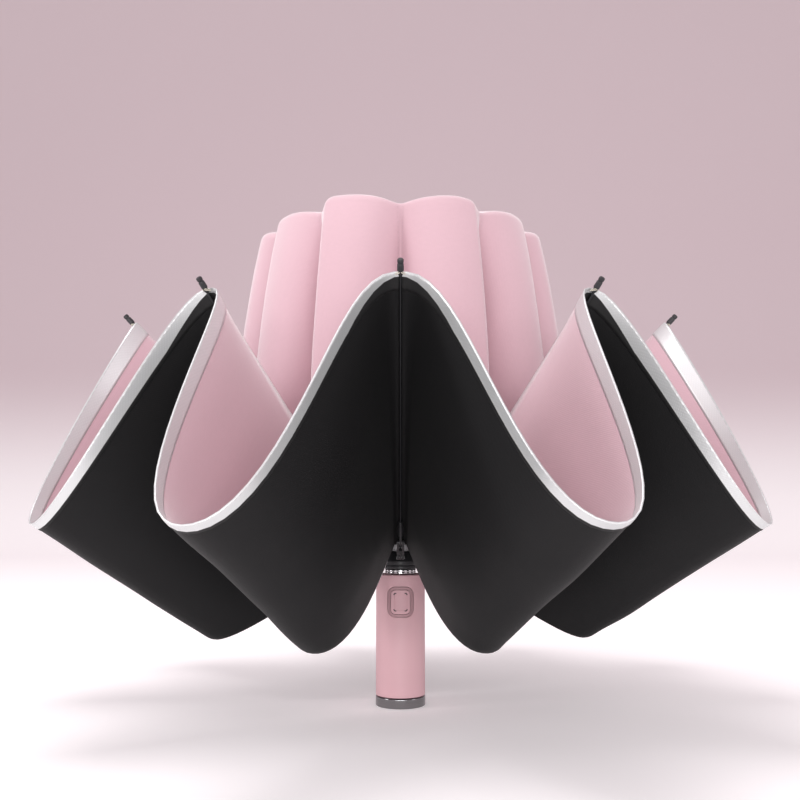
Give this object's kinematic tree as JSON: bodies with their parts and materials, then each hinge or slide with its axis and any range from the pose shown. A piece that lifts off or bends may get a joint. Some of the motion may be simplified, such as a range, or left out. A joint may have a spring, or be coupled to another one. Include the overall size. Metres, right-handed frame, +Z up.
{
  "type": "inverted folding umbrella",
  "caption": "Reverse-folding umbrella standing on its straight handle, canopy turned inside out, with telescoping shaft, jointed ribs, stretchers and a reflective hem.",
  "frame": {"origin": "centre of the handle's foot, on the surface that the umbrella stands on", "axes": "+Z up the shaft, -Y towards the button and the first rib, +X to the right when the button is in front"},
  "size_m": [0.5364, 0.5102, 0.3477],
  "materials": {
    "grip_pink": "matte pink soft-touch",
    "button_pink": "matte pink",
    "cap_pink": "satin pink",
    "chrome": "polished",
    "dark_plastic": "satin black",
    "shaft_steel": "satin",
    "rib_metal": "grey satin",
    "rib_wire": "grey painted",
    "canopy_cloth": "woven, pink outside and black inside",
    "reflective_tape": "retro-reflective silver tape"
  },
  "bodies": {
    "handle": {"handle_grip": "grip_pink", "end_cap": "chrome", "grip_ring": "chrome", "handle_collar": "dark_plastic", "button_bezel": "grip_pink", "lower_tube": "shaft_steel"},
    "button": {"release_button": "button_pink"},
    "middle_shaft": {"middle_tube": "shaft_steel"},
    "upper_shaft": {"upper_tube": "shaft_steel", "crown_and_top_ribs": "rib_metal", "top_cap": "cap_pink", "canopy": "canopy_cloth", "hem_strip": "reflective_tape"},
    "runner": {"runner": "dark_plastic"},
    "stretcher_01": {"stretcher_01": "rib_metal"},
    "middle_rib_01": {"middle_rib_01": "rib_metal"},
    "elbow_01": {"elbow_01": "rib_metal"},
    "outer_rib_01": {"outer_rib_01": "rib_wire"},
    "stretcher_02": {"stretcher_02": "rib_metal"},
    "middle_rib_02": {"middle_rib_02": "rib_metal"},
    "elbow_02": {"elbow_02": "rib_metal"},
    "outer_rib_02": {"outer_rib_02": "rib_wire"},
    "stretcher_03": {"stretcher_03": "rib_metal"},
    "middle_rib_03": {"middle_rib_03": "rib_metal"},
    "elbow_03": {"elbow_03": "rib_metal"},
    "outer_rib_03": {"outer_rib_03": "rib_wire"},
    "stretcher_04": {"stretcher_04": "rib_metal"},
    "middle_rib_04": {"middle_rib_04": "rib_metal"},
    "elbow_04": {"elbow_04": "rib_metal"},
    "outer_rib_04": {"outer_rib_04": "rib_wire"},
    "stretcher_05": {"stretcher_05": "rib_metal"},
    "middle_rib_05": {"middle_rib_05": "rib_metal"},
    "elbow_05": {"elbow_05": "rib_metal"},
    "outer_rib_05": {"outer_rib_05": "rib_wire"},
    "stretcher_06": {"stretcher_06": "rib_metal"},
    "middle_rib_06": {"middle_rib_06": "rib_metal"},
    "elbow_06": {"elbow_06": "rib_metal"},
    "outer_rib_06": {"outer_rib_06": "rib_wire"},
    "stretcher_07": {"stretcher_07": "rib_metal"},
    "middle_rib_07": {"middle_rib_07": "rib_metal"},
    "elbow_07": {"elbow_07": "rib_metal"},
    "outer_rib_07": {"outer_rib_07": "rib_wire"},
    "stretcher_08": {"stretcher_08": "rib_metal"},
    "middle_rib_08": {"middle_rib_08": "rib_metal"},
    "elbow_08": {"elbow_08": "rib_metal"},
    "outer_rib_08": {"outer_rib_08": "rib_wire"},
    "stretcher_09": {"stretcher_09": "rib_metal"},
    "middle_rib_09": {"middle_rib_09": "rib_metal"},
    "elbow_09": {"elbow_09": "rib_metal"},
    "outer_rib_09": {"outer_rib_09": "rib_wire"},
    "stretcher_10": {"stretcher_10": "rib_metal"},
    "middle_rib_10": {"middle_rib_10": "rib_metal"},
    "elbow_10": {"elbow_10": "rib_metal"},
    "outer_rib_10": {"outer_rib_10": "rib_wire"}
  },
  "joints": [
    {"name": "button_press", "type": "slide", "parent": "handle", "child": "button", "axis": [0, 1, 0], "range_m": [0, 0.0015], "stiffness_N_per_m": 400},
    {"name": "middle_shaft_slide", "type": "slide", "parent": "handle", "child": "middle_shaft", "axis": [0, 0, 1], "range_m": [0, 0.195]},
    {"name": "upper_shaft_slide", "type": "slide", "parent": "middle_shaft", "child": "upper_shaft", "axis": [0, 0, 1], "range_m": [0, 0.195]},
    {"name": "runner_slide", "type": "slide", "parent": "upper_shaft", "child": "runner", "axis": [0, 0, 1], "range_m": [0, 0.1079], "deforming": ["canopy", "hem_strip"]},
    {"name": "stretcher_hinge_01", "type": "hinge", "parent": "runner", "child": "stretcher_01", "pos_m": [0, -0.012, 0.1346], "axis": [-1, 0, 0], "range_deg": [-42.45, 0.3]},
    {"name": "middle_rib_hinge_01", "type": "hinge", "parent": "upper_shaft", "child": "middle_rib_01", "pos_m": [0, -0.08512, 0.31998], "axis": [-1, 0, 0], "range_deg": [-0.3, 82.35]},
    {"name": "elbow_hinge_01", "type": "hinge", "parent": "middle_rib_01", "child": "elbow_01", "pos_m": [0, -0.03, 0.09997], "axis": [-1, 0, 0], "range_deg": [-158.94, 0.3]},
    {"name": "rim_fold_01", "type": "hinge", "parent": "elbow_01", "child": "outer_rib_01", "pos_m": [0, -0.03997, 0.1098], "axis": [1, 0, 0], "range_deg": [-25, 0], "deforming": ["canopy", "hem_strip"]},
    {"name": "stretcher_hinge_02", "type": "hinge", "parent": "runner", "child": "stretcher_02", "pos_m": [0.00705, -0.00971, 0.1346], "axis": [-0.809, -0.5878, 0], "range_deg": [-42.45, 0.3]},
    {"name": "middle_rib_hinge_02", "type": "hinge", "parent": "upper_shaft", "child": "middle_rib_02", "pos_m": [0.05003, -0.06886, 0.31998], "axis": [-0.809, -0.5878, 0], "range_deg": [-0.3, 82.35]},
    {"name": "elbow_hinge_02", "type": "hinge", "parent": "middle_rib_02", "child": "elbow_02", "pos_m": [0.01763, -0.02427, 0.09997], "axis": [-0.809, -0.5878, 0], "range_deg": [-158.94, 0.3]},
    {"name": "rim_fold_02", "type": "hinge", "parent": "elbow_02", "child": "outer_rib_02", "pos_m": [0.02349, -0.03234, 0.1098], "axis": [0.809, 0.5878, 0], "range_deg": [-25.3, 0.3]},
    {"name": "stretcher_hinge_03", "type": "hinge", "parent": "runner", "child": "stretcher_03", "pos_m": [0.01141, -0.00371, 0.1346], "axis": [-0.309, -0.9511, 0], "range_deg": [-42.45, 0.3]},
    {"name": "middle_rib_hinge_03", "type": "hinge", "parent": "upper_shaft", "child": "middle_rib_03", "pos_m": [0.08095, -0.0263, 0.31998], "axis": [-0.309, -0.9511, 0], "range_deg": [-0.3, 82.35]},
    {"name": "elbow_hinge_03", "type": "hinge", "parent": "middle_rib_03", "child": "elbow_03", "pos_m": [0.02853, -0.00927, 0.09997], "axis": [-0.309, -0.9511, 0], "range_deg": [-158.94, 0.3]},
    {"name": "rim_fold_03", "type": "hinge", "parent": "elbow_03", "child": "outer_rib_03", "pos_m": [0.03801, -0.01235, 0.1098], "axis": [0.309, 0.9511, 0], "range_deg": [-25.3, 0.3]},
    {"name": "stretcher_hinge_04", "type": "hinge", "parent": "runner", "child": "stretcher_04", "pos_m": [0.01141, 0.00371, 0.1346], "axis": [0.309, -0.9511, 0], "range_deg": [-42.45, 0.3]},
    {"name": "middle_rib_hinge_04", "type": "hinge", "parent": "upper_shaft", "child": "middle_rib_04", "pos_m": [0.08095, 0.0263, 0.31998], "axis": [0.309, -0.9511, 0], "range_deg": [-0.3, 82.35]},
    {"name": "elbow_hinge_04", "type": "hinge", "parent": "middle_rib_04", "child": "elbow_04", "pos_m": [0.02853, 0.00927, 0.09997], "axis": [0.309, -0.9511, 0], "range_deg": [-158.94, 0.3]},
    {"name": "rim_fold_04", "type": "hinge", "parent": "elbow_04", "child": "outer_rib_04", "pos_m": [0.03801, 0.01235, 0.1098], "axis": [-0.309, 0.9511, 0], "range_deg": [-25.3, 0.3]},
    {"name": "stretcher_hinge_05", "type": "hinge", "parent": "runner", "child": "stretcher_05", "pos_m": [0.00705, 0.00971, 0.1346], "axis": [0.809, -0.5878, 0], "range_deg": [-42.45, 0.3]},
    {"name": "middle_rib_hinge_05", "type": "hinge", "parent": "upper_shaft", "child": "middle_rib_05", "pos_m": [0.05003, 0.06886, 0.31998], "axis": [0.809, -0.5878, 0], "range_deg": [-0.3, 82.35]},
    {"name": "elbow_hinge_05", "type": "hinge", "parent": "middle_rib_05", "child": "elbow_05", "pos_m": [0.01763, 0.02427, 0.09997], "axis": [0.809, -0.5878, 0], "range_deg": [-158.94, 0.3]},
    {"name": "rim_fold_05", "type": "hinge", "parent": "elbow_05", "child": "outer_rib_05", "pos_m": [0.02349, 0.03234, 0.1098], "axis": [-0.809, 0.5878, 0], "range_deg": [-25.3, 0.3]},
    {"name": "stretcher_hinge_06", "type": "hinge", "parent": "runner", "child": "stretcher_06", "pos_m": [0, 0.012, 0.1346], "axis": [1, 0, 0], "range_deg": [-42.45, 0.3]},
    {"name": "middle_rib_hinge_06", "type": "hinge", "parent": "upper_shaft", "child": "middle_rib_06", "pos_m": [0, 0.08512, 0.31998], "axis": [1, 0, 0], "range_deg": [-0.3, 82.35]},
    {"name": "elbow_hinge_06", "type": "hinge", "parent": "middle_rib_06", "child": "elbow_06", "pos_m": [0, 0.03, 0.09997], "axis": [1, 0, 0], "range_deg": [-158.94, 0.3]},
    {"name": "rim_fold_06", "type": "hinge", "parent": "elbow_06", "child": "outer_rib_06", "pos_m": [0, 0.03997, 0.1098], "axis": [-1, 0, 0], "range_deg": [-25.3, 0.3]},
    {"name": "stretcher_hinge_07", "type": "hinge", "parent": "runner", "child": "stretcher_07", "pos_m": [-0.00705, 0.00971, 0.1346], "axis": [0.809, 0.5878, 0], "range_deg": [-42.45, 0.3]},
    {"name": "middle_rib_hinge_07", "type": "hinge", "parent": "upper_shaft", "child": "middle_rib_07", "pos_m": [-0.05003, 0.06886, 0.31998], "axis": [0.809, 0.5878, 0], "range_deg": [-0.3, 82.35]},
    {"name": "elbow_hinge_07", "type": "hinge", "parent": "middle_rib_07", "child": "elbow_07", "pos_m": [-0.01763, 0.02427, 0.09997], "axis": [0.809, 0.5878, 0], "range_deg": [-158.94, 0.3]},
    {"name": "rim_fold_07", "type": "hinge", "parent": "elbow_07", "child": "outer_rib_07", "pos_m": [-0.02349, 0.03234, 0.1098], "axis": [-0.809, -0.5878, 0], "range_deg": [-25.3, 0.3]},
    {"name": "stretcher_hinge_08", "type": "hinge", "parent": "runner", "child": "stretcher_08", "pos_m": [-0.01141, 0.00371, 0.1346], "axis": [0.309, 0.9511, 0], "range_deg": [-42.45, 0.3]},
    {"name": "middle_rib_hinge_08", "type": "hinge", "parent": "upper_shaft", "child": "middle_rib_08", "pos_m": [-0.08095, 0.0263, 0.31998], "axis": [0.309, 0.9511, 0], "range_deg": [-0.3, 82.35]},
    {"name": "elbow_hinge_08", "type": "hinge", "parent": "middle_rib_08", "child": "elbow_08", "pos_m": [-0.02853, 0.00927, 0.09997], "axis": [0.309, 0.9511, 0], "range_deg": [-158.94, 0.3]},
    {"name": "rim_fold_08", "type": "hinge", "parent": "elbow_08", "child": "outer_rib_08", "pos_m": [-0.03801, 0.01235, 0.1098], "axis": [-0.309, -0.9511, 0], "range_deg": [-25.3, 0.3]},
    {"name": "stretcher_hinge_09", "type": "hinge", "parent": "runner", "child": "stretcher_09", "pos_m": [-0.01141, -0.00371, 0.1346], "axis": [-0.309, 0.9511, 0], "range_deg": [-42.45, 0.3]},
    {"name": "middle_rib_hinge_09", "type": "hinge", "parent": "upper_shaft", "child": "middle_rib_09", "pos_m": [-0.08095, -0.0263, 0.31998], "axis": [-0.309, 0.9511, 0], "range_deg": [-0.3, 82.35]},
    {"name": "elbow_hinge_09", "type": "hinge", "parent": "middle_rib_09", "child": "elbow_09", "pos_m": [-0.02853, -0.00927, 0.09997], "axis": [-0.309, 0.9511, 0], "range_deg": [-158.94, 0.3]},
    {"name": "rim_fold_09", "type": "hinge", "parent": "elbow_09", "child": "outer_rib_09", "pos_m": [-0.03801, -0.01235, 0.1098], "axis": [0.309, -0.9511, 0], "range_deg": [-25.3, 0.3]},
    {"name": "stretcher_hinge_10", "type": "hinge", "parent": "runner", "child": "stretcher_10", "pos_m": [-0.00705, -0.00971, 0.1346], "axis": [-0.809, 0.5878, 0], "range_deg": [-42.45, 0.3]},
    {"name": "middle_rib_hinge_10", "type": "hinge", "parent": "upper_shaft", "child": "middle_rib_10", "pos_m": [-0.05003, -0.06886, 0.31998], "axis": [-0.809, 0.5878, 0], "range_deg": [-0.3, 82.35]},
    {"name": "elbow_hinge_10", "type": "hinge", "parent": "middle_rib_10", "child": "elbow_10", "pos_m": [-0.01763, -0.02427, 0.09997], "axis": [-0.809, 0.5878, 0], "range_deg": [-158.94, 0.3]},
    {"name": "rim_fold_10", "type": "hinge", "parent": "elbow_10", "child": "outer_rib_10", "pos_m": [-0.02349, -0.03234, 0.1098], "axis": [0.809, -0.5878, 0], "range_deg": [-25.3, 0.3]}
  ],
  "couplings": [
    {"joint": "stretcher_hinge_01", "follows": "runner_slide", "rad_per_m": -6.8183},
    {"joint": "middle_rib_hinge_01", "follows": "runner_slide", "rad_per_m": 13.272},
    {"joint": "elbow_hinge_01", "follows": "runner_slide", "rad_per_m": -25.661},
    {"joint": "stretcher_hinge_02", "follows": "runner_slide", "rad_per_m": -6.8183},
    {"joint": "middle_rib_hinge_02", "follows": "runner_slide", "rad_per_m": 13.272},
    {"joint": "elbow_hinge_02", "follows": "runner_slide", "rad_per_m": -25.661},
    {"joint": "rim_fold_02", "follows": "rim_fold_01", "ratio": 1},
    {"joint": "stretcher_hinge_03", "follows": "runner_slide", "rad_per_m": -6.8183},
    {"joint": "middle_rib_hinge_03", "follows": "runner_slide", "rad_per_m": 13.272},
    {"joint": "elbow_hinge_03", "follows": "runner_slide", "rad_per_m": -25.661},
    {"joint": "rim_fold_03", "follows": "rim_fold_01", "ratio": 1},
    {"joint": "stretcher_hinge_04", "follows": "runner_slide", "rad_per_m": -6.8183},
    {"joint": "middle_rib_hinge_04", "follows": "runner_slide", "rad_per_m": 13.272},
    {"joint": "elbow_hinge_04", "follows": "runner_slide", "rad_per_m": -25.661},
    {"joint": "rim_fold_04", "follows": "rim_fold_01", "ratio": 1},
    {"joint": "stretcher_hinge_05", "follows": "runner_slide", "rad_per_m": -6.8183},
    {"joint": "middle_rib_hinge_05", "follows": "runner_slide", "rad_per_m": 13.272},
    {"joint": "elbow_hinge_05", "follows": "runner_slide", "rad_per_m": -25.661},
    {"joint": "rim_fold_05", "follows": "rim_fold_01", "ratio": 1},
    {"joint": "stretcher_hinge_06", "follows": "runner_slide", "rad_per_m": -6.8183},
    {"joint": "middle_rib_hinge_06", "follows": "runner_slide", "rad_per_m": 13.272},
    {"joint": "elbow_hinge_06", "follows": "runner_slide", "rad_per_m": -25.661},
    {"joint": "rim_fold_06", "follows": "rim_fold_01", "ratio": 1},
    {"joint": "stretcher_hinge_07", "follows": "runner_slide", "rad_per_m": -6.8183},
    {"joint": "middle_rib_hinge_07", "follows": "runner_slide", "rad_per_m": 13.272},
    {"joint": "elbow_hinge_07", "follows": "runner_slide", "rad_per_m": -25.661},
    {"joint": "rim_fold_07", "follows": "rim_fold_01", "ratio": 1},
    {"joint": "stretcher_hinge_08", "follows": "runner_slide", "rad_per_m": -6.8183},
    {"joint": "middle_rib_hinge_08", "follows": "runner_slide", "rad_per_m": 13.272},
    {"joint": "elbow_hinge_08", "follows": "runner_slide", "rad_per_m": -25.661},
    {"joint": "rim_fold_08", "follows": "rim_fold_01", "ratio": 1},
    {"joint": "stretcher_hinge_09", "follows": "runner_slide", "rad_per_m": -6.8183},
    {"joint": "middle_rib_hinge_09", "follows": "runner_slide", "rad_per_m": 13.272},
    {"joint": "elbow_hinge_09", "follows": "runner_slide", "rad_per_m": -25.661},
    {"joint": "rim_fold_09", "follows": "rim_fold_01", "ratio": 1},
    {"joint": "stretcher_hinge_10", "follows": "runner_slide", "rad_per_m": -6.8183},
    {"joint": "middle_rib_hinge_10", "follows": "runner_slide", "rad_per_m": 13.272},
    {"joint": "elbow_hinge_10", "follows": "runner_slide", "rad_per_m": -25.661},
    {"joint": "rim_fold_10", "follows": "rim_fold_01", "ratio": 1}
  ]
}
